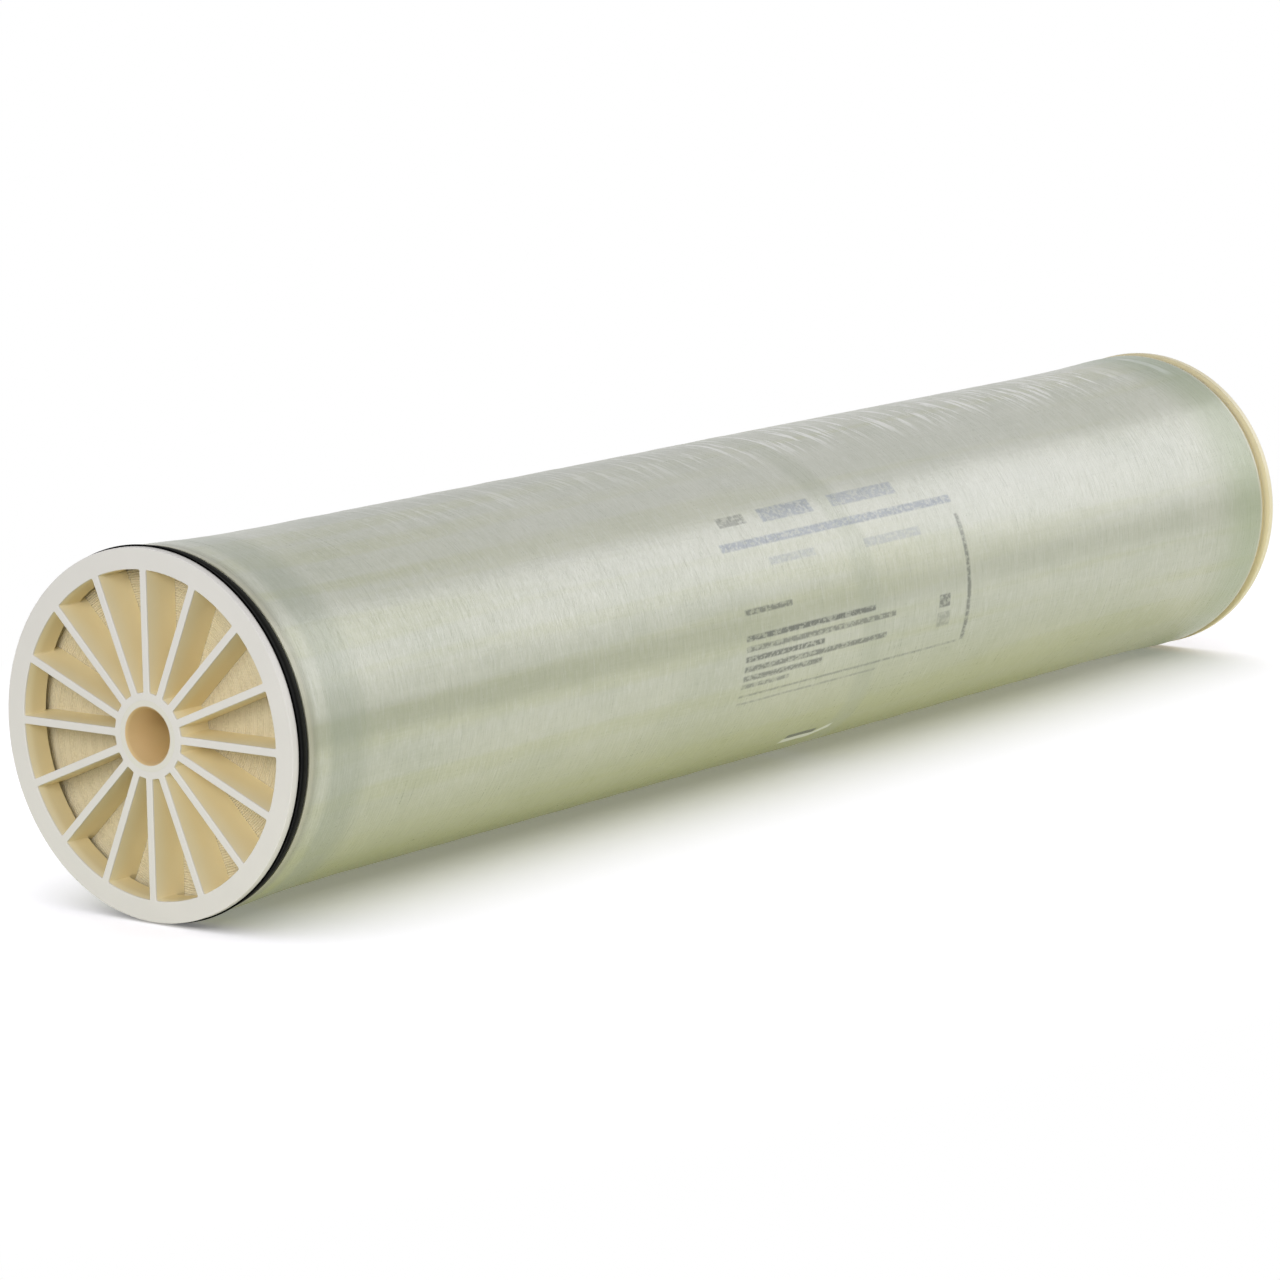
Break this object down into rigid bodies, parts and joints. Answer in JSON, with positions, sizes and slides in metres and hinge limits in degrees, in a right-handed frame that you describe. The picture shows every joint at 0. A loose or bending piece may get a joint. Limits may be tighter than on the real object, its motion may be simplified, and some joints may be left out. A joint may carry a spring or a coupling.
{
  "type": "ro membrane element",
  "caption": "Spiral-wound reverse osmosis membrane element with ribbed end caps, a rubber brine seal and a glass fibre shell.",
  "frame": {"origin": "centre of the brine end face, on the element's axis", "axes": "+Z along the element's axis from the brine end to the feed end; ribs lie along X and Y"},
  "size_m": [0.2014, 0.2014, 1.016],
  "materials": {
    "end_cap": "moulded ivory ABS",
    "seal_rubber": "black moulded rubber",
    "fiberglass": "translucent glass fibre and epoxy wrap",
    "tape": "polypropylene tape",
    "carrier_cloth": "knitted polyester carrier cloth",
    "tube": "extruded ABS with machined seats",
    "membrane": "polyamide membrane on polyester",
    "spacer_net": "polypropylene net"
  },
  "bodies": {
    "root": {"feed_end_cap": "end_cap", "brine_end_cap": "end_cap", "brine_seal": "seal_rubber", "fiberglass_shell": "fiberglass", "roll_tape": "tape", "carrier_wrap": "carrier_cloth", "permeate_tube": "tube", "membrane_leaf_1": "membrane", "membrane_leaf_2": "membrane", "membrane_leaf_3": "membrane", "membrane_leaf_4": "membrane", "membrane_leaf_5": "membrane", "membrane_leaf_6": "membrane", "membrane_leaf_7": "membrane", "membrane_leaf_8": "membrane", "feed_spacer_1": "spacer_net", "feed_spacer_2": "spacer_net", "feed_spacer_3": "spacer_net", "feed_spacer_4": "spacer_net", "feed_spacer_5": "spacer_net", "feed_spacer_6": "spacer_net", "feed_spacer_7": "spacer_net", "feed_spacer_8": "spacer_net"}
  },
  "joints": []
}
